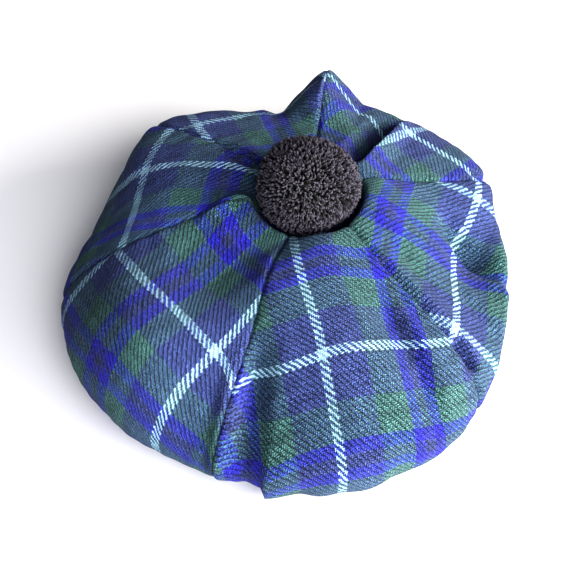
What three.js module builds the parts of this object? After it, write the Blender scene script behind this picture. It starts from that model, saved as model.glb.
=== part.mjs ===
// A tam o' shanter: a soft round bonnet of wool tartan. Six wedge-shaped gores run from the crown's
// centre, over a soft rim that has no seam, and back under to an upright head band. A woollen ball,
// the toorie, sits in the dimple where the gores meet.
//
// Millimetres, +Z up. The crown is described about the toorie's vertical axis, by meridian curves from
// the dimple to the band, and at the end the whole bonnet is centred on its own box.
import * as THREE from 'three';

// Driving dimensions
const CLOTH = 2.2; // thickness of the fulled wool
const SEAM_GAP = 0.3; // between neighbouring pieces
const TOORIE = { radius: 33.5, halfHeight: 31, centreZ: 94, lump: 0.9, detail: 5 };
const BAND = { x: -13, y: -20, radius: 92, height: 28, gap: 0.5, sides: 48 };
const FLOOR_CLEARANCE = 0.8; // the loose rim hangs just clear of what the band stands on
const COLUMNS = 11; // faces across a gore
const ROWS = 29; // faces along a gore

const named = (names, rows) => rows.map((row) => (
  Object.fromEntries(names.split(' ').map((name, i) => [name, row[i]]))));

// The dimple under the toorie, as distance from its axis and height, the same all round
const DIMPLE = named('r z', [
  [3, 62.2],
  [13, 64.6],
  [26, 73],
  [33, 82],
]);

// One row for each seam and each gore's middle, going round: the direction it runs in, in degrees from
// +X, and the points that its meridian passes through. The lip edges the dimple, the slope and the
// shoulder lie on the crown, the rim is the widest point, and the foot is the lowest. The sway is how
// many degrees the meridian has swung anticlockwise by the time it reaches the shoulder.
const SECTIONS = named(
  'place at lipR lipZ slopeR slopeZ shoulderR shoulderZ rimR rimZ footR sway', [
    ['left seam', -171, 38, 89, 82, 81, 125, 65, 163, 33, 145, 3],
    ['front left', -134, 38, 82, 80, 73, 147, 74, 171, 39, 146, 0],
    ['front left seam', -113, 38, 82, 75, 83, 138, 54, 167, 28, 150, 4],
    ['front', -86, 38, 90, 80, 82, 126, 67, 172, 39, 154, 6],
    ['front right seam', -49, 38, 89, 78, 70, 136, 48, 153, 21, 138, 2],
    ['right', -15, 38, 94, 80, 71, 108, 46, 133, 46, 120, 1],
    ['right seam', 19, 38, 92, 73, 79, 134, 58, 132, 45, 119, 0],
    ['back right', 50, 38, 92, 77, 80, 130, 61, 144, 45, 118, 1],
    ['back seam', 84, 38, 86, 79, 80, 115, 65, 143, 53, 114, -1],
    ['back left', 111, 38, 86, 77, 81, 114, 69, 129, 43, 115, -3],
    ['back left seam', 135, 38, 89, 82, 85, 143, 67, 143, 46, 139, 4],
    ['left', 169, 38, 83, 80, 89, 110, 78, 148, 36, 132, 4],
  ]);

// Folds and dents. Each runs between two places on the cloth, given as a direction in degrees and the
// length of cloth from the crown's centre. It fades out over a width on its anticlockwise side and a
// width on its clockwise side, lifts the cloth and pushes it outwards, and its ridge is sharp at 0 and
// round at 1.
const FOLDS = named(
  'what fromAt fromLength toAt toLength acw cw lift push round', [
    ['peak of the back seam', 86, 82, 82, 193, 35, 30, 26, 4, 0.1],
    ['hollow before the peak', 98, 92, 100, 190, 15, 18, -3, -2, 0.8],
    ['valley beside the peak', 36, 46, 58, 164, 22, 7, -18, -2, 0.35],
    ['lip beside the valley', 25, 46, 56, 164, 8, 17, 7, 0, 0.6],
    ['dent in the right gore', 6, 102, -17, 184, 12, 13, -10, -5, 0.8],
    ['swell in front of that dent', -21, 121, -32, 206, 13, 13, 3, -1, 0.8],
    ['notch at the right seam', 22, 132, 20, 192, 7, 6, -3, -5, 0.5],
    ['ridge of the front right seam', -46, 53, -43, 168, 16, 13, 6, 0, 0.3],
    ['dent in the front gore', -58, 84, -61, 196, 12, 27, -7, -6, 0.8],
    ['slack under the front gore', -69, 176, -75, 260, 25, 25, 0, -3, 1],
    ['step in the front rim', -98, 158, -99, 250, 26, 4, 0, 6, 0.4],
    ['pucker at the seam end', -46, 140, -45, 170, 7, 6, -9, -5, 0.8],
    ['valley beside the front left seam', -107, 104, -103, 232, 17, 7, -6, -7, 0.6],
    ['swell over the front left seam', -110, 116, -108, 220, 10, 11, 0, 9, 0.9],
    ['lip on the left seam', -165, 85, 180, 44, 7, 11, 4, 0, 0.5],
    ['crease beside the back left seam', 141, 44, 141, 94, 8, 10, -5, 0, 0.3],
  ]);

// A gore lies between two seams of the table, that is between rows two apart.
const GORES = {
  gore_front_left: 0,
  gore_front: 2,
  gore_right: 4,
  gore_back_right: 6,
  gore_back_left: 8,
  gore_left: 10,
};

const radians = THREE.MathUtils.degToRad;
const smooth = (x) => THREE.MathUtils.smoothstep(x, 0, 1);

function section(i) {
  const turns = Math.floor(i / SECTIONS.length);
  const row = SECTIONS[i - turns * SECTIONS.length];
  return { ...row, at: row.at + 360 * turns };
}

// The table's row at any direction between rows i and i + 1, as a smooth curve through four rows
function sectionAt(i, t) {
  const [a, b, c, d] = [i - 1, i, i + 1, i + 2].map(section);
  const span = c.at - b.at;
  const blend = (key) => {
    const leave = (c[key] - a[key]) / (c.at - a.at) * span;
    const arrive = (d[key] - b[key]) / (d.at - b.at) * span;
    const from = (2 * t ** 3 - 3 * t ** 2 + 1) * b[key] + (t ** 3 - 2 * t ** 2 + t) * leave;
    return from + (3 * t ** 2 - 2 * t ** 3) * c[key] + (t ** 3 - t ** 2) * arrive;
  };
  return Object.fromEntries(Object.keys(b).slice(1).map((key) => [key, blend(key)]));
}

// How far the band's outer wall is from the toorie's axis, in one direction
function bandDistance(angle) {
  const along = BAND.x * Math.cos(angle) + BAND.y * Math.sin(angle);
  return along + Math.sqrt(along ** 2 + BAND.radius ** 2 - BAND.x ** 2 - BAND.y ** 2);
}

function foldOffset(angle, length) {
  const here = new THREE.Vector2(Math.cos(angle), Math.sin(angle)).multiplyScalar(length);
  const offset = { r: 0, z: 0 };
  for (const fold of FOLDS) {
    const [from, to] = [[fold.fromAt, fold.fromLength], [fold.toAt, fold.toLength]].map(([at, far]) => (
      new THREE.Vector2(Math.cos(radians(at)), Math.sin(radians(at))).multiplyScalar(far)));
    const way = to.clone().sub(from);
    const reach = way.length();
    way.normalize();
    const local = here.clone().sub(from);
    const along = local.dot(way) / reach;
    const aside = way.cross(local);
    const near = Math.max(0, 1 - Math.abs(aside) / (aside > 0 ? fold.acw : fold.cw));
    const ridge = near + (smooth(near) - near) * fold.round;
    const strength = ridge * smooth(along / 0.35) * smooth((1 - along) / 0.35);
    offset.r += strength * fold.push;
    offset.z += strength * fold.lift;
  }
  return offset;
}

// The outer face of the cloth along one meridian, as distances from the axis and heights
function meridian(i, t) {
  const at = sectionAt(i, t);
  const band = bandDistance(radians(at.at + at.sway));
  const through = [
    ...DIMPLE.map(({ r, z }) => [r, z]),
    [at.lipR, at.lipZ],
    [at.slopeR, at.slopeZ],
    [at.shoulderR, at.shoulderZ],
    [at.rimR, at.rimZ],
    [at.rimR - 2, at.rimZ * 0.35],
    [at.footR, FLOOR_CLEARANCE + 0.4],
    [(at.footR + band) / 2, 9],
    [band, BAND.height],
  ];
  const curve = new THREE.CatmullRomCurve3(
    through.map(([r, z]) => new THREE.Vector3(r, 0, z)), false, 'centripetal');
  curve.arcLengthDivisions = 400;
  const length = curve.getLength();
  const angles = [];
  const points = curve.getSpacedPoints(ROWS).map((point, row) => {
    const reached = DIMPLE[0].r + length * row / ROWS;
    const angle = radians(at.at + at.sway * smooth((reached - 40) / 80));
    const offset = foldOffset(angle, reached);
    const z = Math.max(FLOOR_CLEARANCE, point.z + offset.z);
    angles.push(angle);
    return new THREE.Vector2(point.x + offset.r, z);
  });
  return { angles, points };
}

// The same meridian moved in by the cloth's thickness without turning about the axis, so that
// neighbouring gores share the face they meet on and never cross
function innerFace(points) {
  return points.map((point, row) => {
    const before = points[Math.max(row - 1, 0)];
    const after = points[Math.min(row + 1, points.length - 1)];
    const way = after.clone().sub(before).normalize();
    return new THREE.Vector2(point.x + way.y * CLOTH, point.y - way.x * CLOTH);
  });
}

function solid(positions, faces) {
  const geometry = new THREE.BufferGeometry();
  geometry.setAttribute('position', new THREE.Float32BufferAttribute(positions, 3));
  geometry.setIndex(faces);
  geometry.computeVertexNormals();
  return geometry;
}

// A gore is a wall: a grid of outer points and the same grid of inner points, closed round the edge.
function gore(firstSection) {
  const positions = [];
  const faces = [];
  const layer = (COLUMNS + 1) * (ROWS + 1);
  const index = (side, column, row) => side * layer + column * (ROWS + 1) + row;
  for (const side of [0, 1]) {
    for (let column = 0; column <= COLUMNS; column += 1) {
      const place = 2 * column / COLUMNS;
      const step = Math.min(Math.floor(place), 1);
      const { angles, points } = meridian(firstSection + step, place - step);
      const shift = SEAM_GAP / 2 * (1 - 2 * column / COLUMNS);
      (side === 0 ? points : innerFace(points)).forEach(({ x: r, y: z }, row) => {
        const x = r * Math.cos(angles[row]) - shift * Math.sin(angles[row]);
        const y = r * Math.sin(angles[row]) + shift * Math.cos(angles[row]);
        positions.push(x, y, z);
      });
    }
  }
  const quad = (a, b, c, d) => faces.push(a, b, c, a, c, d);
  for (let c = 0; c < COLUMNS; c += 1) {
    for (let r = 0; r < ROWS; r += 1) {
      quad(index(0, c, r), index(0, c, r + 1), index(0, c + 1, r + 1), index(0, c + 1, r));
      quad(index(1, c, r), index(1, c + 1, r), index(1, c + 1, r + 1), index(1, c, r + 1));
    }
    quad(index(0, c, 0), index(0, c + 1, 0), index(1, c + 1, 0), index(1, c, 0));
    quad(index(0, c, ROWS), index(1, c, ROWS), index(1, c + 1, ROWS), index(0, c + 1, ROWS));
  }
  for (let r = 0; r < ROWS; r += 1) {
    quad(index(0, 0, r), index(1, 0, r), index(1, 0, r + 1), index(0, 0, r + 1));
    quad(index(0, COLUMNS, r), index(0, COLUMNS, r + 1), index(1, COLUMNS, r + 1), index(1, COLUMNS, r));
  }
  return solid(positions, faces);
}

// The band is a plain upright ring of cloth. Its lower edge is what the bonnet stands on.
function headBand() {
  const inner = BAND.radius - CLOTH;
  const top = BAND.height - BAND.gap;
  const outline = [[inner, 0], [BAND.radius, 0], [BAND.radius, top], [inner, top], [inner, 0]];
  const points = outline.map(([r, z]) => new THREE.Vector2(r, z));
  const geometry = new THREE.LatheGeometry(points, BAND.sides);
  geometry.rotateX(Math.PI / 2);
  return geometry;
}

// The toorie is a clipped woollen ball, a little flattened, with shallow hollows between its lumps.
function toorie() {
  const geometry = new THREE.IcosahedronGeometry(1, TOORIE.detail);
  const { position } = geometry.attributes;
  const point = new THREE.Vector3();
  for (let i = 0; i < position.count; i += 1) {
    point.fromBufferAttribute(position, i).normalize();
    const wave = Math.sin(5 * point.x + 1) * Math.sin(6 * point.y + 2) * Math.sin(5 * point.z);
    const radius = TOORIE.radius - TOORIE.lump * (1 + wave) / 2;
    point.multiply(new THREE.Vector3(radius, radius, radius * TOORIE.halfHeight / TOORIE.radius));
    position.setXYZ(i, point.x, point.y, point.z);
  }
  geometry.computeVertexNormals();
  return geometry;
}

const tartanWool = new THREE.MeshStandardMaterial({ color: '#2c3a66', roughness: 0.95, metalness: 0 });
const toorieWool = new THREE.MeshStandardMaterial({ color: '#35323a', roughness: 1, metalness: 0 });

const bonnet = new THREE.Group();

function add(name, geometry, material) {
  const mesh = new THREE.Mesh(geometry, material);
  mesh.name = name;
  bonnet.add(mesh);
  return mesh;
}

for (const [name, firstSection] of Object.entries(GORES)) {
  add(name, gore(firstSection), tartanWool);
}
add('head_band', headBand(), tartanWool).position.set(BAND.x, BAND.y, 0);
add('toorie', toorie(), toorieWool).position.set(0, 0, TOORIE.centreZ);

// Centre the bonnet on its own box, with the band's lower edge at z = 0.
bonnet.updateMatrixWorld(true);
const middle = new THREE.Box3().setFromObject(bonnet, true).getCenter(new THREE.Vector3());
bonnet.position.set(-middle.x, -middle.y, 0);

export default bonnet;
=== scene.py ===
# %% [markdown]
# # A tam o' shanter in tartan wool
#
# The bonnet is sewn from six wedges of tartan, called gores. They meet under a woollen ball, the
# toorie, run out over a soft rim that has no seam, and turn under to an upright head band. This lesson
# drapes the gores, weaves their twill thread by thread, clips the toorie out of yarn ends, and lights it.
#
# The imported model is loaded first. It fixes where everything is, so each place below is measured from it.

# %% Load the frame
import math

import bmesh
import bpy
import numpy as np
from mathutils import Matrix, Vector


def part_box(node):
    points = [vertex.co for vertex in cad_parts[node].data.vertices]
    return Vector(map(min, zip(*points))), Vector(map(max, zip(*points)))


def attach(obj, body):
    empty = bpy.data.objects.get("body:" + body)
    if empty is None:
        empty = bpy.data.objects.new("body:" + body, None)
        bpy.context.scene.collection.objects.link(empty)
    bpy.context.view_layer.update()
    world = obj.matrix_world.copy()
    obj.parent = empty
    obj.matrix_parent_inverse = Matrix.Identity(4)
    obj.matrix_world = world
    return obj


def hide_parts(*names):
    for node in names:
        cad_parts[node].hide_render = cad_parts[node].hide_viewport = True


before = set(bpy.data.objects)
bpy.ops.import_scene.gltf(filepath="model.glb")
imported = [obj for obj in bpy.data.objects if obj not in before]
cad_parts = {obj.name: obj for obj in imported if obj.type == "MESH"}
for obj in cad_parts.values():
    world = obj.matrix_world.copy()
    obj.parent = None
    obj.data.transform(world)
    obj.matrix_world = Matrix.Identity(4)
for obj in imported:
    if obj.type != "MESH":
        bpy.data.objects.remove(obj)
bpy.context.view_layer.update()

# %% [markdown]
# ## Sizes
#
# Cloth is easier to think about in millimetres, so shapes are worked out in millimetres about the
# toorie's upright axis, and one function moves them into the frame in metres. The axis is the middle of
# the toorie's box, and the head opening is the middle of the band's.

# %% Sizes and places
MM = 0.001


def middle(node):
    low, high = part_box(node)
    return (Vector(low) + Vector(high)) / 2


AXIS = middle("toorie") / MM
BAND_MIDDLE = middle("head_band") / MM - AXIS
BAND_RADIUS = (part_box("head_band")[1][0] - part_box("head_band")[0][0]) / 2 / MM
BAND_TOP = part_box("head_band")[1][2] / MM
BAND_GAP = 0.5  # from the band's top to the middle of the cloth that turns in over it
TOORIE_SIZE = (Vector(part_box("toorie")[1]) - Vector(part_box("toorie")[0])) / MM
CLOTH = 2.2  # thickness of the fulled wool
FLOOR_CLEARANCE = 0.6  # the rim hangs just clear of what the band stands on


def into_frame(points):
    """Millimetres about the toorie's axis to metres in the frame"""
    return (np.asarray(points) + np.array([AXIS.x, AXIS.y, 0.0])) * MM


def table(columns, rows):
    return [dict(zip(columns.split(), row)) for row in rows]


print(f"toorie axis {AXIS.x:.1f}, {AXIS.y:.1f} mm, head opening {2 * (BAND_RADIUS - CLOTH):.0f} mm across")

# %% [markdown]
# ## The shape of the crown
#
# A soft bonnet has no single formula. It could be simulated as cloth, but then the folds fall where they
# like, and it is hard to steer them to a wanted place. So the crown is described as a tailor would pin
# it: a few meridians, one on each seam and one down the middle of each gore, and then the folds, one by
# one. Most numbers in the tables of meridians, folds and gores came from a separate least-squares solver
# and were rounded. The rest were set one by one.
#
# Each meridian passes through the dimple under the toorie, the dimple's lip, a point on the slope, the
# shoulder, the rim at its widest, and the foot, where the cloth is lowest. Angles are degrees from +X.
# The cloth has slumped, so a meridian also sways: it has swung by so many degrees at the shoulder.

# %% Meridians of the crown
DIMPLE = table("r z", [
    (3, 62.2),
    (13, 64.6),
    (26, 73),
    (33, 82),
])

SECTIONS = table(
    "place at lip_r lip_z slope_r slope_z shoulder_r shoulder_z rim_r rim_z foot_r sway", [
        ("left seam", -171, 38, 89, 82, 81, 125, 65, 163, 33, 145, 3),
        ("front left", -134, 38, 82, 80, 73, 147, 74, 171, 39, 146, 0),
        ("front left seam", -113, 38, 82, 75, 83, 138, 54, 167, 28, 150, 4),
        ("front", -86, 38, 90, 80, 82, 126, 67, 172, 39, 154, 6),
        ("front right seam", -49, 38, 89, 78, 70, 136, 48, 153, 21, 138, 2),
        ("right", -15, 38, 94, 80, 71, 108, 46, 133, 46, 120, 1),
        ("right seam", 19, 38, 92, 73, 79, 134, 58, 132, 45, 119, 0),
        ("back right", 50, 38, 92, 77, 80, 130, 61, 144, 45, 118, 1),
        ("back seam", 84, 38, 86, 79, 80, 115, 65, 143, 53, 114, -1),
        ("back left", 111, 38, 86, 77, 81, 114, 69, 129, 43, 115, -3),
        ("back left seam", 135, 38, 89, 82, 85, 143, 67, 143, 46, 139, 4),
        ("left", 169, 38, 83, 80, 89, 110, 78, 148, 36, 132, 4),
    ])
print(len(SECTIONS), "meridians")

# %% [markdown]
# ## The folds
#
# A fold runs between two places on the cloth. Each place is a direction and the length of cloth from the
# crown's centre. The fold fades over a width on its anticlockwise side (acw) and another on its clockwise
# side (cw), so a valley can be steep on one side and gentle on the other. It lifts the cloth and pushes it
# outwards, and its ridge is sharp at 0 and round at 1.

# %% Folds and dents
FOLDS = table(
    "what from_at from_length to_at to_length acw cw lift push round", [
        ("peak of the back seam", 86, 82, 82, 193, 35, 30, 26, 4, 0.1),
        ("hollow before the peak", 98, 92, 100, 190, 15, 18, -3, -2, 0.8),
        ("valley beside the peak", 36, 46, 58, 164, 22, 7, -18, -2, 0.35),
        ("lip beside the valley", 25, 46, 56, 164, 8, 17, 7, 0, 0.6),
        ("dent in the right gore", 6, 102, -17, 184, 12, 13, -10, -5, 0.8),
        ("swell in front of that dent", -21, 121, -32, 206, 13, 13, 3, -1, 0.8),
        ("notch at the right seam", 22, 132, 20, 192, 7, 6, -3, -5, 0.5),
        ("ridge of the front right seam", -46, 53, -43, 168, 16, 13, 6, 0, 0.3),
        ("dent in the front gore", -58, 84, -61, 196, 12, 27, -7, -6, 0.8),
        ("slack under the front gore", -69, 176, -75, 260, 25, 25, 0, -3, 1),
        ("step in the front rim", -98, 158, -99, 250, 26, 4, 0, 6, 0.4),
        ("pucker at the seam end", -46, 140, -45, 170, 7, 6, -9, -5, 0.8),
        ("valley beside the front left seam", -107, 104, -103, 232, 17, 7, -6, -7, 0.6),
        ("swell over the front left seam", -110, 116, -108, 220, 10, 11, 0, 9, 0.9),
        ("lip on the left seam", -165, 85, 180, 44, 7, 11, 4, 0, 0.5),
        ("crease beside the back left seam", 141, 44, 141, 94, 8, 10, -5, 0, 0.3),
    ])


def smooth(x):
    x = np.clip(x, 0, 1)
    return x * x * (3 - 2 * x)


def on_plan(at, length):
    return length * np.array([math.cos(math.radians(at)), math.sin(math.radians(at))])


def fold_offset(angle, length):
    """How far the folds push the cloth outwards and lift it, at each angle and length of cloth"""
    push = np.zeros_like(length)
    lift = np.zeros_like(length)
    here_x = length * np.cos(angle)
    here_y = length * np.sin(angle)
    for fold in FOLDS:
        start = on_plan(fold["from_at"], fold["from_length"])
        way = on_plan(fold["to_at"], fold["to_length"]) - start
        reach = np.hypot(*way)
        way /= reach
        along = ((here_x - start[0]) * way[0] + (here_y - start[1]) * way[1]) / reach
        aside = way[0] * (here_y - start[1]) - way[1] * (here_x - start[0])
        near = np.maximum(0, 1 - np.abs(aside) / np.where(aside > 0, fold["acw"], fold["cw"]))
        ridge = near + (smooth(near) - near) * fold["round"]
        strength = ridge * smooth(along / 0.35) * smooth((1 - along) / 0.35)
        push += strength * fold["push"]
        lift += strength * fold["lift"]
    return push, lift


print(len(FOLDS), "folds")

# %% [markdown]
# ## From the table to curves
#
# Between two rows of the table the numbers change smoothly, by a cubic that takes its slope from the rows
# on either side. Along a meridian the cloth follows a curve through its points, and it is then stepped
# off in equal lengths, because a thread is as long at the rim as it is at the crown.

# %% Curves through the table
KEYS = [key for key in SECTIONS[0] if key != "place"]


def section(i):
    turns, row = divmod(i, len(SECTIONS))
    values = np.array([SECTIONS[row][key] for key in KEYS], float)
    values[0] += 360 * turns
    return values


def section_at(first, t):
    """The table's row at t, which runs from 0 to 2 across the gore that starts at row first"""
    i = first + min(int(t), 1)
    t -= min(int(t), 1)
    before, here, there, after = (section(k) for k in (i - 1, i, i + 1, i + 2))
    span = there[0] - here[0]
    leave = (there - before) / (there[0] - before[0]) * span
    arrive = (after - here) / (after[0] - here[0]) * span
    return ((2 * t**3 - 3 * t**2 + 1) * here + (t**3 - 2 * t**2 + t) * leave
            + (3 * t**2 - 2 * t**3) * there + (t**3 - t**2) * arrive)


def curve_through(points, steps):
    """Each row of points as a smooth curve, in equal lengths, with the length reached at each step"""
    gaps = np.sqrt(np.linalg.norm(np.diff(points, axis=1), axis=2))[:, :, None]
    chords = np.diff(points, axis=1) / gaps
    slopes = np.concatenate([
        chords[:, :1],
        (chords[:, :-1] * gaps[:, 1:] + chords[:, 1:] * gaps[:, :-1]) / (gaps[:, :-1] + gaps[:, 1:]),
        chords[:, -1:]], axis=1)
    t = np.linspace(0, 1, 61)[None, :, None]
    pieces = []
    for k in range(points.shape[1] - 1):
        here, there, gap = points[:, k, None], points[:, k + 1, None], gaps[:, k, None]
        piece = ((2 * t**3 - 3 * t**2 + 1) * here + (t**3 - 2 * t**2 + t) * slopes[:, k, None] * gap
                 + (3 * t**2 - 2 * t**3) * there + (t**3 - t**2) * slopes[:, k + 1, None] * gap)
        pieces.append(piece if k == 0 else piece[:, 1:])
    fine = np.concatenate(pieces, axis=1)
    reached = np.linalg.norm(np.diff(fine, axis=1), axis=2).cumsum(axis=1)
    reached = np.concatenate([np.zeros((len(fine), 1)), reached], axis=1)
    stepped = np.empty((len(fine), steps + 1, 2))
    lengths = np.linspace(0, 1, steps + 1)[None, :] * reached[:, -1:]
    for k in range(len(fine)):
        stepped[k, :, 0] = np.interp(lengths[k], reached[k], fine[k, :, 0])
        stepped[k, :, 1] = np.interp(lengths[k], reached[k], fine[k, :, 1])
    return stepped, lengths


def band_distance(angle):
    """From the toorie's axis to the band's outer wall, in each direction"""
    along = BAND_MIDDLE.x * np.cos(angle) + BAND_MIDDLE.y * np.sin(angle)
    return along + np.sqrt(along**2 + BAND_RADIUS**2 - BAND_MIDDLE.x**2 - BAND_MIDDLE.y**2)


print("a row of the table holds", ", ".join(KEYS))

# %% [markdown]
# ## One gore
#
# A gore is a grid, with columns that run from the crown's centre to the band and closer together near the
# seams. At a seam the cloth is folded in, so its face rolls down there into a narrow groove, and the
# stitches draw it up into small puckers. Away from the seams the cloth still ripples a little, because
# fulled wool is never quite flat.

# %% Drape a gore
COLUMNS = 96
ROWS = 216
GROOVE_DEPTH = 1.8
GROOVE_WIDTH = 1.9
PUCKER = 0.35
RIPPLE = 0.55


def ripple(x, y, z):
    """Gentle waves in the cloth, about 20 to 60 mm from crest to crest"""
    return (np.sin(0.17 * x + 0.11 * y + 0.6) * np.sin(0.13 * y - 0.09 * z)
            + 0.6 * np.sin(0.29 * x - 0.21 * y + 1.9) * np.sin(0.23 * y + 0.19 * z + 0.5))


def drape(first):
    """The outer face of a gore: points, the angle of each column, and lengths of cloth from the centre"""
    s = np.linspace(-1, 1, COLUMNS + 1)
    across = s * (1.3 - 0.3 * s * s)
    rows = np.array([section_at(first, t) for t in across + 1])
    row = dict(zip(KEYS, rows.T))
    band = band_distance(np.radians(row["at"] + row["sway"]))
    every = np.ones_like(band)
    through = [(p["r"] * every, p["z"] * every) for p in DIMPLE]
    through += [(row["lip_r"], row["lip_z"])]
    through += [(row["slope_r"], row["slope_z"])]
    through += [(row["shoulder_r"], row["shoulder_z"])]
    through += [(row["rim_r"], row["rim_z"])]
    through += [(row["rim_r"] - 2, row["rim_z"] * 0.35)]
    through += [(row["foot_r"], FLOOR_CLEARANCE * every + 0.4)]
    through += [((row["foot_r"] + band) / 2, 9 * every)]
    through += [(band, (BAND_TOP + BAND_GAP) * every)]
    plain, length = curve_through(np.stack([np.stack(p, -1) for p in through], 1), ROWS)
    length = length + DIMPLE[0]["r"]
    angle = np.radians(row["at"][:, None] + row["sway"][:, None] * smooth((length - 40) / 80))
    push, lift = fold_offset(angle, length)
    r = plain[..., 0] + push
    z = plain[..., 1] + lift
    from_seam = (1 - np.abs(across))[:, None] * (angle[-1] - angle[0]) / 2 * np.minimum(length, 140)
    outwards_r = -np.gradient(z, axis=1)
    outwards_z = np.gradient(r, axis=1)
    size = np.hypot(outwards_r, outwards_z)
    raised = -GROOVE_DEPTH * np.exp(-(from_seam / GROOVE_WIDTH) ** 1.5) * smooth(length / 40)
    raised += PUCKER * np.sin(length * 0.42) * np.exp(-from_seam / 9) * smooth(length / 60)
    raised += RIPPLE * ripple(r * np.cos(angle), r * np.sin(angle), z) * smooth(length / 60)
    r = r + raised * outwards_r / size
    z = np.maximum(z + raised * outwards_z / size, FLOOR_CLEARANCE)
    return {"r": r, "z": z, "angle": angle, "across": across, "length": length, "plain_r": plain[..., 0]}


trial = drape(2)
print(f"front gore: {trial['length'].max():.0f} mm of cloth from the centre to the band")

# %% [markdown]
# ## The cut of a gore
#
# The tartan was woven flat, so a gore must know where each of its points lay on the flat cloth. That is
# what a UV map is for. Here U runs across the gore and V along its middle, in metres of real cloth, so the
# weave can be drawn in threads per metre. On the crown a gore is a flat wedge, and past the shoulder it
# keeps its width and is only drawn in.
#
# Each gore was cut from a different place in the cloth, so its stripes fall differently. The table says
# where the white overcheck crosses it: how far round from its middle, and how far from the centre. It
# also says how much steam and wear have stretched the gore's length past the shoulder.

# %% Flat cut of each gore
GORES = table("node first_section white_across white_along stretch", [
    ("gore_front_left", 0, 45, 123, 1),
    ("gore_front", 2, -15, 126, 1.11),
    ("gore_right", 4, -61, 127, 1),
    ("gore_back_right", 6, -7, 126, 1),
    ("gore_back_left", 8, 48, 113, 1),
    ("gore_left", 10, -17, 120, 1),
])
HALF_ANGLE = math.radians(28.6)  # of the flat wedge
SHOULDER_LENGTH = 128


def flat_cut(cloth, white_across, white_along, stretch):
    """Where each point lay on the flat cloth, in millimetres from a crossing of the white stripes"""
    swing = cloth["across"][:, None] * HALF_ANGLE
    length = cloth["length"]
    at_shoulder = np.abs(length - SHOULDER_LENGTH).argmin(axis=1)
    shoulder_r = cloth["plain_r"][np.arange(len(at_shoulder)), at_shoulder][:, None]
    reach = np.where(length < SHOULDER_LENGTH, length, SHOULDER_LENGTH * cloth["plain_r"] / shoulder_r)
    u = reach * np.sin(swing)
    past = smooth((length - SHOULDER_LENGTH + 15) / 50)
    drawn_in = SHOULDER_LENGTH * (1 - np.cos(swing))
    v = length * np.cos(swing) * (1 - past) + (length - drawn_in) * past
    v -= (1 - 1 / stretch) * np.maximum(0, v - SHOULDER_LENGTH)
    return u - white_across, v - white_along


print("cut of", ", ".join(gore["node"] for gore in GORES))

# %% [markdown]
# ## Building the cloth
#
# The outer face is the draped grid. The inner face is the same grid moved in by the cloth's thickness
# without turning about the axis, so that neighbouring gores share the face they meet on and never cross.
# The mesh is made in code because a bpy.ops modelling chain can't place a grid point by point.

# %% Make the gores
SEAM_GAP = 0.12  # between neighbouring gores, hidden at the bottom of the groove


def inner_face(r, z):
    way_r = np.gradient(r, axis=1)
    way_z = np.gradient(z, axis=1)
    size = np.hypot(way_r, way_z)
    return r + CLOTH * way_z / size, z - CLOTH * way_r / size


def to_points(cloth, r, z):
    angle = cloth["angle"]
    shift = -SEAM_GAP / 2 * cloth["across"][:, None]
    return np.stack([r * np.cos(angle) - shift * np.sin(angle),
                     r * np.sin(angle) + shift * np.cos(angle), z], -1)


def grid_faces(columns, rows, start, flip):
    c, r = np.meshgrid(np.arange(columns), np.arange(rows), indexing="ij")
    a = start + c * (rows + 1) + r
    quads = np.stack([a, a + rows + 1, a + rows + 2, a + 1], -1).reshape(-1, 4)
    return quads if flip else quads[:, ::-1]


def edge_faces(columns, rows, layer):
    """The four cut edges, joining the outer grid to the inner one"""
    side = np.arange(rows)
    end = np.arange(columns) * (rows + 1)
    last = columns * (rows + 1)
    loops = [(side, side + 1, False), (last + side, last + side + 1, True),
             (end, end + rows + 1, True), (end + rows, end + 2 * rows + 1, False)]
    quads = []
    for a, b, flip in loops:
        quad = np.stack([a, b, b + layer, a + layer], -1)
        quads.append(quad[:, ::-1] if flip else quad)
    return np.concatenate(quads)


def make_gore(node, first_section, white_across, white_along, stretch):
    cloth = drape(first_section)
    outer = to_points(cloth, cloth["r"], cloth["z"])
    inner = to_points(cloth, *inner_face(cloth["r"], cloth["z"]))
    u, v = flat_cut(cloth, white_across, white_along, stretch)
    layer = outer.shape[0] * outer.shape[1]
    points = into_frame(np.concatenate([outer.reshape(-1, 3), inner.reshape(-1, 3)]))
    faces = np.concatenate([grid_faces(COLUMNS, ROWS, 0, True), grid_faces(COLUMNS, ROWS, layer, False),
                            edge_faces(COLUMNS, ROWS, layer)])
    mesh = bpy.data.meshes.new("cloth_" + node)
    mesh.from_pydata(points.tolist(), [], faces.tolist())
    cut = np.tile(np.stack([u.ravel(), v.ravel()], -1) * MM, (2, 1))
    corners = mesh.uv_layers.new(name="cut").data
    corners.foreach_set("uv", cut[faces.ravel()].ravel())
    mesh.polygons.foreach_set("use_smooth", np.ones(len(faces), bool))
    piece = bpy.data.objects.new("cloth_" + node, mesh)
    bpy.context.collection.objects.link(piece)
    cell_u = np.diff(u, axis=0)[:, 1:]
    cell_v = np.diff(v, axis=1)[1:]
    area = abs((cell_u * cell_v).sum()) * MM * MM
    flat = ((u.max() - u.min()) * MM, (v.max() - v.min()) * MM)
    return piece, flat, area


gores = {}
for gore in GORES:
    piece, flat, area = make_gore(**gore)
    gores[gore["node"]] = (piece, flat, area)
    print(f"{piece.name}: cut from {flat[0]:.3f} x {flat[1]:.3f} m, {area * 1e4:.0f} square cm")

# %% [markdown]
# ## Tools for materials
#
# Colours are written as sRGB hex, as in any paint program, and Blender wants them linear, so one function
# turns them. Another adds a node with its settings and its links, which keeps each material short enough
# to read. A Math node is told what to do by its operation, and the ones used most have a name here.

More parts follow.
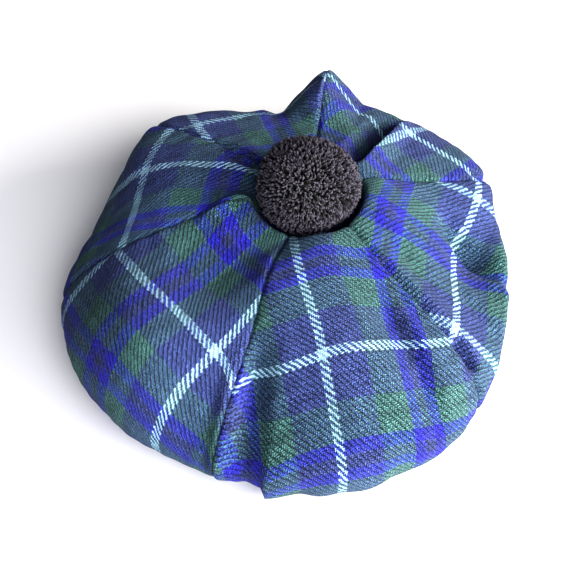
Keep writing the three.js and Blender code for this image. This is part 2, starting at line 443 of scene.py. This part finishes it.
# %% Colour and node helpers
MATH = "ShaderNodeMath"
VECTOR = "ShaderNodeVectorMath"
ADD = {"operation": "ADD"}
SUBTRACT = {"operation": "SUBTRACT"}
MULTIPLY = {"operation": "MULTIPLY"}
MULTIPLY_ADD = {"operation": "MULTIPLY_ADD"}  # first times second, plus third


def linear(hex_colour):
    parts = [int(hex_colour[i:i + 2], 16) / 255 for i in (1, 3, 5)]
    return [p / 12.92 if p <= 0.04045 else ((p + 0.055) / 1.055) ** 2.4 for p in parts] + [1.0]


def node(tree, kind, settings=None, **inputs):
    """Adds a node. Settings are its properties. An input is called by its name, or i and its number. It
    is given a value, a socket to link from, or a node, whose first output is linked."""
    made = tree.nodes.new(kind)
    for key, value in (settings or {}).items():
        setattr(made, key, value)
    for key, value in inputs.items():
        socket = made.inputs[int(key[1:])] if key[0] == "i" and key[1:].isdigit() else made.inputs[key]
        if isinstance(value, bpy.types.Node):
            value = value.outputs[0]
        if isinstance(value, bpy.types.NodeSocket):
            tree.links.new(value, socket)
        else:
            socket.default_value = value
    return made


def new_material(name):
    material = bpy.data.materials.new(name)
    material.use_nodes = True
    material.node_tree.nodes.clear()
    return material


print("linear navy:", [round(c, 3) for c in linear("#465384")])

# %% [markdown]
# ## The tartan
#
# Tartan is a twill: each thread goes over two and under two, one step along in each row, which draws the
# fine diagonal ribs. The warp and the weft carry the same sequence of colours, the sett, and it turns
# back on itself at the white overcheck. So a square of navy is pure navy only where navy crosses navy,
# and where it crosses green the two mix thread by thread. Painting the squares would lose all of that.
# Here each thread takes its colour from the sett, and the weave decides which thread is on top. White is
# kept apart from the dyed yarns, because they mat into each other and it stays crisp.

# %% The sett
THREAD = 1.0  # mm from thread to thread in a wool twill of this weight
REPEAT = 113.0  # mm from one white line to the next
OVERCHECK = 2.6  # mm, half the width of the white line
SETT = table("to colour", [  # half the repeat, in mm from the middle of the white line
    (25.5, "#465384"),  # navy
    (45.5, "#496d6a"),  # bottle green
    (53.0, "#3433ae"),  # royal blue
    (56.5, "#3f4877"),  # navy, a shade darker
])
ICE_WHITE = "#9fc3d8"


def sett_group():
    """Gives the colour of the thread so many millimetres from a white line, and 1 where it is white"""
    group = bpy.data.node_groups.new("sett", "ShaderNodeTree")
    group.interface.new_socket("Place", in_out="INPUT", socket_type="NodeSocketFloat")
    group.interface.new_socket("Colour", in_out="OUTPUT", socket_type="NodeSocketColor")
    group.interface.new_socket("White", in_out="OUTPUT", socket_type="NodeSocketFloat")
    place = node(group, "NodeGroupInput")
    folded = node(group, MATH, {"operation": "PINGPONG"}, i0=place, i1=REPEAT / 2)
    share = node(group, MATH, {"operation": "DIVIDE"}, i0=folded, i1=REPEAT / 2)
    ramp = node(group, "ShaderNodeValToRGB", Fac=share)
    ramp.color_ramp.interpolation = "CONSTANT"
    elements = ramp.color_ramp.elements
    elements[0].color = linear(SETT[0]["colour"])
    elements.remove(elements[1])
    for before, band in zip(SETT, SETT[1:]):
        elements.new(before["to"] / (REPEAT / 2)).color = linear(band["colour"])
    white = node(group, MATH, {"operation": "LESS_THAN"}, i0=folded, i1=OVERCHECK)
    node(group, "NodeGroupOutput", i0=ramp, i1=white)
    return group


sett = sett_group()
print("sett of", len(SETT), "bands in half a repeat of", REPEAT / 2, "mm")

# %% [markdown]
# ## Fulled wool twill
#
# After weaving, the cloth was fulled: washed and pressed until the fibres matted. That blends each dyed
# thread with the one under it, lays a fine fuzz over the colours, and leaves no gloss but a faint sheen.
# The threads' height drives a bump, and it also paints shade into the colour: the gaps between threads
# are painted dark, and painted shade lies in a deep groove along one side of each rib, where a thread
# dives under. A fine noise breaks the threads into fibres, with painted shade in the gaps between the
# tufts, each thread is a little lighter or darker than the next, and a broad noise gives the unevenness
# of a real dye.

# %% Tartan wool
MATTED = 0.3  # how much of the thread beneath shows through the dyed yarns
STRAY = 1.8  # how far the threads stray from their line, in threads from side to side
STRAY_CELLS = 420.0  # noise cells in a metre, so they stray about every 2.4 mm
FIBRE_CELLS = 1300.0  # tufts of fibre about 0.8 mm across
CLOUD_CELLS = 70.0  # patches of dye about 14 mm across
GROOVE_SHADE = 0.52  # how dark the painted shade in the groove beside each rib is
TUFT_CONTRAST = 5.6  # how much lighter the tufts are than the gaps between them, which take painted shade; the tufts also vary in tone at random
THREAD_CONTRAST = 0.5  # how much the lightest thread differs from the darkest
WHITE_EVENNESS = 0.55  # how much less painted shade the white yarn takes, as light passes through it
BUMP = 0.0006  # height of a thread above the gaps, in metres


def lay_threads(tree, cut):
    """Where a point lies, counted in threads along U and V, and the numbers of the threads it lies on"""
    noise = node(tree, "ShaderNodeTexNoise", {"noise_dimensions": "2D"}, Vector=cut, Scale=STRAY_CELLS,
                 Detail=3.0, Roughness=0.7)
    stray = node(tree, VECTOR, MULTIPLY_ADD, i0=noise, i1=(STRAY, -STRAY, 0),
                 i2=(-STRAY / 2, STRAY / 2, 0))
    per_metre = 1000 / THREAD
    place = node(tree, VECTOR, MULTIPLY_ADD, i0=cut, i1=(per_metre, per_metre, 0), i2=stray)
    number = node(tree, VECTOR, {"operation": "FLOOR"}, i0=place)
    x, y, _ = node(tree, "ShaderNodeSeparateXYZ", i0=place).outputs
    warp, weft, _ = node(tree, "ShaderNodeSeparateXYZ", i0=number).outputs
    return x, y, warp, weft


def warp_over(tree, warp, weft):
    """1 where the warp is over the weft: over two and under two, one step along in each row"""
    apart = node(tree, MATH, SUBTRACT, i0=warp, i1=weft)
    step = node(tree, MATH, {"operation": "FLOORED_MODULO"}, i0=apart, i1=4.0)
    return node(tree, MATH, {"operation": "LESS_THAN"}, i0=step, i1=1.5)


def yarn_of(tree, number):
    """The sett's colour and its white for a thread, from its number"""
    middle = node(tree, MATH, ADD, i0=number, i1=0.5)
    middle = node(tree, MATH, MULTIPLY, i0=middle, i1=THREAD)
    return node(tree, "ShaderNodeGroup", {"node_tree": sett}, i0=middle).outputs


def yarn_colour(tree, over, warp, weft):
    """The colour at the top of the weave, and 1 where a white thread is on top"""
    warp_dye, warp_white = yarn_of(tree, warp)
    weft_dye, weft_white = yarn_of(tree, weft)
    on_top = node(tree, MATH, MULTIPLY_ADD, i0=over, i1=1 - 2 * MATTED, i2=MATTED)
    dyed = node(tree, "ShaderNodeMix", {"data_type": "RGBA"}, i0=on_top, i6=weft_dye, i7=warp_dye)
    white = node(tree, "ShaderNodeMix", i0=over, i2=weft_white, i3=warp_white)
    yarn = node(tree, "ShaderNodeMix", {"data_type": "RGBA"}, i0=white, i6=dyed.outputs[2],
                i7=linear(ICE_WHITE))
    return yarn.outputs[2], white


def thread_dome(tree, over, x, y, warp, weft):
    """How high the top thread stands: round across itself, and dipping under at each end of its float"""
    up_warp = node(tree, MATH, SUBTRACT, i0=y, i1=warp)
    up_warp = node(tree, MATH, ADD, i0=up_warp, i1=1.0)
    along_weft = node(tree, MATH, SUBTRACT, i0=x, i1=weft)
    along_weft = node(tree, MATH, SUBTRACT, i0=along_weft, i1=2.0)
    run = node(tree, "ShaderNodeMix", i0=over, i2=along_weft, i3=up_warp)
    run = node(tree, MATH, {"operation": "FLOORED_MODULO"}, i0=run, i1=4.0)
    side = node(tree, "ShaderNodeMix", i0=over, i2=y, i3=x)
    side = node(tree, MATH, {"operation": "FRACT"}, i0=side)
    height = None
    for part, turn in ((run, math.pi / 2), (side, math.pi)):
        wave = node(tree, MATH, MULTIPLY, i0=part, i1=turn)
        wave = node(tree, MATH, {"operation": "SINE"}, i0=wave)
        height = node(tree, MATH, MULTIPLY, i0=height, i1=wave) if height else wave
    above = node(tree, MATH, {"operation": "MAXIMUM"}, i0=height, i1=0.0)
    return node(tree, MATH, {"operation": "POWER"}, i0=above, i1=0.7)


def twill_rib(tree, x, y):
    """The diagonal ribs, 1 on top of a rib and 0 at the bottom of the groove beside it"""
    apart = node(tree, MATH, SUBTRACT, i0=x, i1=y)
    apart = node(tree, MATH, SUBTRACT, i0=apart, i1=1.5)
    turn = node(tree, MATH, MULTIPLY, i0=apart, i1=math.pi / 2)
    wave = node(tree, MATH, {"operation": "COSINE"}, i0=turn)
    return node(tree, MATH, MULTIPLY_ADD, i0=wave, i1=0.5, i2=0.5)


def thread_tone(tree, number, seed):
    """Each thread a little lighter or darker than its neighbours, from its number"""
    number = node(tree, MATH, ADD, i0=number, i1=seed)
    spun = node(tree, "ShaderNodeTexWhiteNoise", {"noise_dimensions": "1D"}, W=number)
    return node(tree, MATH, MULTIPLY_ADD, i0=spun, i1=THREAD_CONTRAST, i2=1 - THREAD_CONTRAST / 2)


def tartan_wool():
    material = new_material("fulled_wool_twill")
    tree = material.node_tree
    cut = node(tree, "ShaderNodeUVMap", {"uv_map": "cut"})
    x, y, warp, weft = lay_threads(tree, cut)
    over = warp_over(tree, warp, weft)
    yarn, white = yarn_colour(tree, over, warp, weft)
    dome = thread_dome(tree, over, x, y, warp, weft)
    rib = twill_rib(tree, x, y)
    fibre = node(tree, "ShaderNodeTexNoise", {"noise_dimensions": "2D"}, Vector=cut, Scale=FIBRE_CELLS,
                 Detail=3.0, Roughness=0.8)
    cloud = node(tree, "ShaderNodeTexNoise", {"noise_dimensions": "2D"}, Vector=cut, Scale=CLOUD_CELLS,
                 Detail=3.0)

    # Each of these multiplies the yarn's colour. The first three are painted shade: dark gaps between
    # threads, a dark groove beside each rib, and dark gaps between tufts, whose tone also varies at random.
    # The last two are the dye's unevenness and each thread's own tone.
    gaps = node(tree, MATH, MULTIPLY_ADD, i0=dome, i1=1.4, i2=0.1)
    painted_groove_shade = node(tree, MATH, MULTIPLY_ADD, i0=rib, i1=GROOVE_SHADE * 1.4, i2=1 - GROOVE_SHADE)
    tuft_tone_and_painted_shade = node(tree, MATH, MULTIPLY_ADD, i0=fibre, i1=TUFT_CONTRAST, i2=1.05 - TUFT_CONTRAST / 2)
    tuft_tone_and_painted_shade = node(tree, MATH, {"operation": "MAXIMUM"}, i0=tuft_tone_and_painted_shade, i1=0.08)
    dye = node(tree, MATH, MULTIPLY_ADD, i0=cloud, i1=0.5, i2=0.75)
    tone = node(tree, "ShaderNodeMix", i0=over, i2=thread_tone(tree, weft, 0.5),
                i3=thread_tone(tree, warp, 300.5))
    shade = gaps
    for part in (painted_groove_shade, tuft_tone_and_painted_shade, dye, tone):
        shade = node(tree, MATH, MULTIPLY, i0=shade, i1=part)
    even = node(tree, MATH, MULTIPLY, i0=white, i1=WHITE_EVENNESS)
    shade = node(tree, "ShaderNodeMix", i0=even, i2=shade, i3=1.0)
    shaded = node(tree, VECTOR, {"operation": "SCALE"}, Vector=yarn, Scale=shade)

    height = node(tree, MATH, ADD, i0=dome, i1=rib)
    height = node(tree, MATH, MULTIPLY_ADD, i0=fibre, i1=0.8, i2=height)
    bump = node(tree, "ShaderNodeBump", Height=height, Strength=0.8, Distance=BUMP)
    surface = node(tree, "ShaderNodeBsdfPrincipled", Normal=bump, Roughness=0.92, IOR=1.5)
    surface.inputs["Specular IOR Level"].default_value = 0.25
    surface.inputs["Sheen Weight"].default_value = 0.1
    surface.inputs["Sheen Roughness"].default_value = 0.5
    surface.inputs["Sheen Tint"].default_value = linear("#c9d4f2")
    tree.links.new(shaded.outputs[0], surface.inputs["Base Color"])
    node(tree, "ShaderNodeOutputMaterial", Surface=surface)
    return material


twill = tartan_wool()
for piece, flat, area in gores.values():
    piece.data.materials.append(twill)
print("twill of", THREAD, "mm threads on", len(gores), "gores")

# %% [markdown]
# ## The head band
#
# The band is a strip of the same cloth, folded double and stood upright, so both its edges are round.
# A strip this plain is quickest from a circle: pull it up, give it a wall, and round the edges. Its UV map
# is laid out afterwards, once round and once up, so that the twill runs round the head.

# %% Head band


def deselect():
    if bpy.context.object and bpy.context.object.mode != "OBJECT":
        bpy.ops.object.mode_set(mode="OBJECT")
    bpy.ops.object.select_all(action="DESELECT")


def make_band():
    deselect()
    centre = (AXIS + BAND_MIDDLE) * MM
    wall = CLOTH * MM
    top = BAND_TOP * MM
    radius = (BAND_RADIUS - CLOTH) * MM
    bpy.ops.mesh.primitive_circle_add(vertices=192, radius=radius, location=(centre.x, centre.y, 0))
    band = bpy.context.object
    band.name = "cloth_head_band"
    bpy.ops.object.mode_set(mode="EDIT")
    bpy.ops.mesh.select_all(action="SELECT")
    for _ in range(8):
        bpy.ops.mesh.extrude_edges_move(TRANSFORM_OT_translate={"value": (0, 0, top / 8)})
    bpy.ops.mesh.select_all(action="SELECT")
    bpy.ops.mesh.normals_make_consistent(inside=False)
    bpy.ops.object.mode_set(mode="OBJECT")
    bpy.ops.object.transform_apply(location=True, rotation=True, scale=True)
    thicken = band.modifiers.new("wall", "SOLIDIFY")
    thicken.thickness = wall
    thicken.offset = 1
    bpy.ops.object.modifier_apply(modifier="wall")
    bend = band.modifiers.new("turned edges", "BEVEL")
    bend.width = wall * 0.42
    bend.segments = 4
    bend.limit_method = "ANGLE"
    bpy.ops.object.modifier_apply(modifier="turned edges")
    bpy.ops.object.shade_smooth()
    return band, centre, radius


def lay_out_round(piece, centre, radius):
    """UV in metres of cloth: once round, and up, with the twill at the same scale as on the gores"""
    uv = piece.data.uv_layers.new(name="cut").data
    for face in piece.data.polygons:
        round_to = math.atan2(face.center.y - centre.y, face.center.x - centre.x)
        for corner in face.loop_indices:
            point = piece.data.vertices[piece.data.loops[corner].vertex_index].co
            turn = math.atan2(point.y - centre.y, point.x - centre.x)
            turn += 2 * math.pi * round((round_to - turn) / (2 * math.pi))
            uv[corner].uv = (turn * radius, point.z)


band, band_centre, band_inner = make_band()
lay_out_round(band, band_centre, band_inner)
band.data.materials.append(twill)
print(f"head band: {2 * math.pi * band_inner:.3f} m round inside, {len(band.data.polygons)} faces")

# %% [markdown]
# ## The toorie
#
# A toorie is made by winding yarn, tying it tight in the middle, cutting the loops, and clipping the
# bush of ends into a ball. What the eye sees is thousands of cut yarn ends, lit on their tips and black
# between. A displaced ball looks like a sponge instead, so here one yarn end is modelled and a few
# thousand copies of it stand on a hidden core. The core is a little lumpy, as a hand-clipped ball is.

# %% Core of the toorie
YARN_LENGTH = 5.5
YARN_WIDTH = 1.15
TOORIE_CLIP = 0.7  # how unevenly the ends are clipped, in mm
TOORIE_INSET = np.array([0.2, 1.3, 1.3])  # how far inside its solid the ball is clipped, in mm
TOORIE_RISE = 2.2  # and how far it rides up on the cloth


def make_core():
    deselect()
    bpy.ops.mesh.primitive_ico_sphere_add(subdivisions=6, radius=1)
    core = bpy.context.object
    core.name = "toorie_core"
    points = np.empty(len(core.data.vertices) * 3)
    core.data.vertices.foreach_get("co", points)
    points = points.reshape(-1, 3)
    x, y, z = points.T
    lumps = 0.8 * np.sin(3.1 * x + 0.4) * np.sin(3.7 * y + 1.2) + 0.6 * np.sin(5.3 * z + 2.1 * x + 0.3)
    lumps += 0.55 * np.sin(9 * x + 4 * z) * np.sin(8 * y + 1)
    lumps += 0.3 * np.sin(17 * y + 3) * np.sin(15 * z + 6 * x)
    inset = YARN_LENGTH + TOORIE_INSET
    radius = np.array([TOORIE_SIZE.x, TOORIE_SIZE.y, TOORIE_SIZE.z]) / 2 - inset
    points = points * (radius + lumps[:, None]) + np.array([0, 0, AXIS.z + TOORIE_RISE])
    core.data.vertices.foreach_set("co", into_frame(points).ravel())
    core.data.update()
    bpy.ops.object.shade_smooth()
    return core


core = make_core()
print("toorie core:", len(core.data.polygons), "faces")

# %% [markdown]
# ## One yarn end
#
# Up close an end of clipped yarn is a stub that flares where its plies come loose, with a domed, frayed
# tip. Five sides are plenty, because thousands stand side by side. Each point also carries how near the tip
# it is, for the colour.

# %% Yarn end
YARN_TIP = 0.5  # height of the frayed tip, in mm


def make_yarn_end():
    deselect()
    bpy.ops.mesh.primitive_cylinder_add(vertices=5, radius=0.36 * YARN_WIDTH * MM, depth=YARN_LENGTH * MM,
                                        location=(0, 0, YARN_LENGTH / 2 * MM))
    end = bpy.context.object
    end.name = "yarn_end"
    bpy.ops.object.transform_apply(location=True, rotation=True, scale=True)
    bpy.ops.object.mode_set(mode="EDIT")
    bpy.ops.mesh.select_mode(type="FACE")
    shape = bmesh.from_edit_mesh(end.data)
    for face in shape.faces:
        face.select = face.normal.z > 0.9
    shape.select_flush_mode()
    bmesh.update_edit_mesh(end.data)
    bpy.ops.transform.resize(value=(1.45, 1.3, 1), center_override=(0, 0, YARN_LENGTH * MM))
    lean = (0.15 * MM, 0.1 * MM, YARN_TIP * MM)
    bpy.ops.mesh.extrude_region_move(TRANSFORM_OT_translate={"value": lean})
    bpy.ops.transform.resize(value=(0.5, 0.55, 1), center_override=(0, 0, (YARN_LENGTH + YARN_TIP) * MM))
    bpy.ops.object.mode_set(mode="OBJECT")
    tip = end.data.attributes.new("tip", "FLOAT", "POINT")
    heights = [v.co.z / ((YARN_LENGTH + YARN_TIP) * MM) for v in end.data.vertices]
    tip.data.foreach_set("value", heights)
    return end


yarn_end = make_yarn_end()
print("yarn end:", len(yarn_end.data.polygons), "faces")

# %% [markdown]
# ## Planting the ends
#
# Geometry Nodes scatters points over the core no closer than a yarn's width, stands an end on each, tips
# and twists it by chance, and makes the copies real. The seeds are fixed, so it comes out the same each
# time. Each end keeps a shade of its own.

# %% Plant the yarn ends
RANDOM = "FunctionNodeRandomValue"


def plant(core, end):
    tree = bpy.data.node_groups.new("plant yarn", "GeometryNodeTree")
    tree.interface.new_socket("Geometry", in_out="INPUT", socket_type="NodeSocketGeometry")
    tree.interface.new_socket("Geometry", in_out="OUTPUT", socket_type="NodeSocketGeometry")
    ball = node(tree, "NodeGroupInput")
    points = node(tree, "GeometryNodeDistributePointsOnFaces", {"distribute_method": "POISSON"}, Mesh=ball,
                  Seed=4)
    points.inputs["Distance Min"].default_value = YARN_WIDTH * 0.93 * MM
    points.inputs["Density Max"].default_value = 4.0e6
    source = node(tree, "GeometryNodeObjectInfo", Object=end)
    tilt = node(tree, RANDOM, {"data_type": "FLOAT_VECTOR"}, i0=(-0.45, -0.45, -3.1), i1=(0.45, 0.45, 3.1),
                Seed=7)
    turned = node(tree, "FunctionNodeRotateRotation", {"rotation_space": "LOCAL"},
                  Rotation=points.outputs["Rotation"], i1=tilt)
    uneven = TOORIE_CLIP / YARN_LENGTH
    size = node(tree, RANDOM, {"data_type": "FLOAT_VECTOR"}, i0=(0.8, 0.8, 1 - uneven),
                i1=(1.25, 1.25, 1 + uneven), Seed=9)
    ends = node(tree, "GeometryNodeInstanceOnPoints", Points=points.outputs["Points"],
                Instance=source.outputs["Geometry"], Rotation=turned, Scale=size)
    shade = node(tree, RANDOM, {"data_type": "FLOAT"}, i2=0.0, i3=1.0, Seed=12)
    shaded = node(tree, "GeometryNodeStoreNamedAttribute", {"data_type": "FLOAT", "domain": "INSTANCE"},
                  Geometry=ends, Name="shade", Value=shade.outputs[1])
    real = node(tree, "GeometryNodeRealizeInstances", Geometry=shaded)
    node(tree, "NodeGroupOutput", i0=real)
    deselect()
    yarn = core.copy()
    yarn.data = core.data.copy()
    yarn.name = "toorie_yarn"
    bpy.context.collection.objects.link(yarn)
    yarn.select_set(True)
    bpy.context.view_layer.objects.active = yarn
    planting = yarn.modifiers.new("plant", "NODES")
    planting.node_group = tree
    bpy.ops.object.modifier_apply(modifier="plant")
    return yarn


yarn = plant(core, yarn_end)
print("yarn ends:", len(yarn.data.polygons) // len(yarn_end.data.polygons), "of them")
bpy.data.objects.remove(yarn_end)

# %% [markdown]
# ## Charcoal wool yarn
#
# The yarn is dyed charcoal with a warm cast. Its cut tips catch the light and its shanks sit in shadow, so
# the colour climbs from near black at the root, and each end is a little lighter or darker than the next.

# %% Yarn material
YARN_FIBRE_CELLS = 1600.0  # noise cells in a metre, so fibres about 0.6 mm across


def charcoal_yarn():
    material = new_material("charcoal_wool_yarn")
    tree = material.node_tree
    tip = node(tree, "ShaderNodeAttribute", {"attribute_name": "tip"}).outputs["Fac"]
    shade = node(tree, "ShaderNodeAttribute", {"attribute_name": "shade"}).outputs["Fac"]
    place = node(tree, "ShaderNodeTexCoord").outputs["Object"]
    fibre = node(tree, "ShaderNodeTexNoise", Vector=place, Scale=YARN_FIBRE_CELLS, Detail=2.0)
    tip = node(tree, MATH, {"operation": "MAXIMUM"}, i0=tip, i1=0.0)
    climb = node(tree, MATH, {"operation": "POWER"}, i0=tip, i1=3.0)
    own = node(tree, MATH, MULTIPLY_ADD, i0=shade, i1=1.1, i2=0.25)
    fuzz = node(tree, MATH, MULTIPLY_ADD, i0=fibre, i1=0.8, i2=0.6)
    light = node(tree, MATH, MULTIPLY, i0=climb, i1=own)
    light = node(tree, MATH, MULTIPLY, i0=light, i1=fuzz)
    colour = node(tree, "ShaderNodeMix", {"data_type": "RGBA"}, i0=light, i6=linear("#060506"),
                  i7=linear("#58545f"))
    bump = node(tree, "ShaderNodeBump", Height=fibre, Strength=0.6, Distance=0.0002)
    surface = node(tree, "ShaderNodeBsdfPrincipled", Normal=bump, Roughness=0.9)
    surface.inputs["Specular IOR Level"].default_value = 0.25
    surface.inputs["Sheen Weight"].default_value = 0.3
    surface.inputs["Sheen Roughness"].default_value = 0.45
    tree.links.new(colour.outputs[2], surface.inputs["Base Color"])
    node(tree, "ShaderNodeOutputMaterial", Surface=surface)
    return material


charcoal = charcoal_yarn()
for piece in (core, yarn):
    piece.data.materials.clear()
    piece.data.materials.append(charcoal)
print("charcoal yarn on", core.name, "and", yarn.name)

# %% [markdown]
# ## Joining the frame
#
# Each visible piece rides on the one body and stands for its plain solid, which is hidden.

# %% Ride and replace
for name, (piece, flat, area) in gores.items():
    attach(piece, "root")
    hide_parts(name)
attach(band, "root")
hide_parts("head_band")
for piece in (core, yarn):
    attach(piece, "root")
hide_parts("toorie")
print("pieces:", ", ".join(o.name for o, _, _ in gores.values()), band.name, core.name, yarn.name)

# %% [markdown]
# ## Floor and light
#
# A pale floor takes the soft shadow. The key lamp is low on the right and models the folds. A wide lamp in
# front, a little to the right, lights the face of the bonnet softly, and a faint one from above opens the
# hollows. The backdrop is pale to the eye but gives little light, because a bright one would wash out the
# shaded side. The view is plain sRGB with more contrast, for a white floor and deep dark dyes.

# %% Floor and light
HAT_MIDDLE = Vector((0, 0, 0.05))
FLOOR_SIDE = 3.2  # metres
GLOW = 0.14  # strength of the light that the backdrop gives
BACKDROP = 0.85  # and how bright it looks


def make_floor():
    deselect()
    bpy.ops.mesh.primitive_plane_add(size=FLOOR_SIDE, location=(0, 0, 0))
    floor = bpy.context.object
    floor.name = "floor"
    paper = new_material("pale_floor")
    tree = paper.node_tree
    surface = node(tree, "ShaderNodeBsdfPrincipled", Roughness=1.0)
    surface.inputs["Base Color"].default_value = linear("#f1f1f2")
    surface.inputs["Specular IOR Level"].default_value = 0.0
    node(tree, "ShaderNodeOutputMaterial", Surface=surface)
    floor.data.materials.append(paper)
    return floor


def add_lamp(name, place, aim, size, power, colour):
    lamp = bpy.data.objects.new(name, bpy.data.lights.new(name, "AREA"))
    lamp.data.shape = "DISK"
    lamp.data.size = size
    lamp.data.energy = power
    lamp.data.color = linear(colour)[:3]
    lamp.location = place
    lamp.rotation_euler = (Vector(aim) - Vector(place)).to_track_quat("-Z", "Y").to_euler()
    bpy.context.collection.objects.link(lamp)
    return lamp


def around(turn, height, distance):
    """A place so many degrees round from +X and so many up, seen from the middle of the hat"""
    turn, height = math.radians(turn), math.radians(height)
    way = Vector((math.cos(height) * math.cos(turn), math.cos(height) * math.sin(turn), math.sin(height)))
    return HAT_MIDDLE + way * distance


def make_world():
    """A pale backdrop for the eye, which gives only a faint light of its own"""
    world = bpy.data.worlds.new("studio")
    world.use_nodes = True
    tree = world.node_tree
    tree.nodes.clear()
    glow = node(tree, "ShaderNodeBackground", Color=linear("#f4f6fa"), Strength=GLOW)
    seen = node(tree, "ShaderNodeBackground", Color=linear("#f4f6fa"), Strength=BACKDROP)
    ray = node(tree, "ShaderNodeLightPath").outputs["Is Camera Ray"]
    studio = node(tree, "ShaderNodeMixShader", i0=ray, i1=glow, i2=seen)
    node(tree, "ShaderNodeOutputWorld", Surface=studio)
    return world


floor = make_floor()
key = add_lamp("key", around(-10, 22, 1.5), HAT_MIDDLE, 0.7, 31, "#fffaf2")
front = add_lamp("front", around(-60, 26, 1.5), HAT_MIDDLE, 1.8, 52, "#fbfaff")
top = add_lamp("top", around(20, 75, 1.6), HAT_MIDDLE, 1.0, 1.2, "#f4f7ff")
bpy.context.scene.world = make_world()
bpy.context.scene.view_settings.view_transform = "Standard"
bpy.context.scene.view_settings.look = "High Contrast"
print("lit by", key.name, front.name, "and", top.name)

# %% [markdown]
# ## Camera
#
# The bonnet is seen from the wearer's front, from about fifty degrees up, close enough for the front gore
# to look a little larger than the back ones.

# %% Camera
CAMERA_HEIGHT_ANGLE = math.radians(49)
CAMERA_DISTANCE = 0.5625
CROWN_TOP = Vector((AXIS.x, AXIS.y, 97)) * MM
AIM = CROWN_TOP + Vector((-0.0144, -0.0476, -0.0414))

look = Vector((0, math.cos(CAMERA_HEIGHT_ANGLE), -math.sin(CAMERA_HEIGHT_ANGLE)))
camera = bpy.data.objects.new("camera", bpy.data.cameras.new("camera"))
camera.data.lens = 56.84
camera.data.sensor_width = 36
camera.location = AIM - look * CAMERA_DISTANCE
camera.rotation_euler = look.to_track_quat("-Z", "Y").to_euler()
bpy.context.collection.objects.link(camera)
bpy.context.scene.camera = camera
print("camera at", [round(c, 3) for c in camera.location])
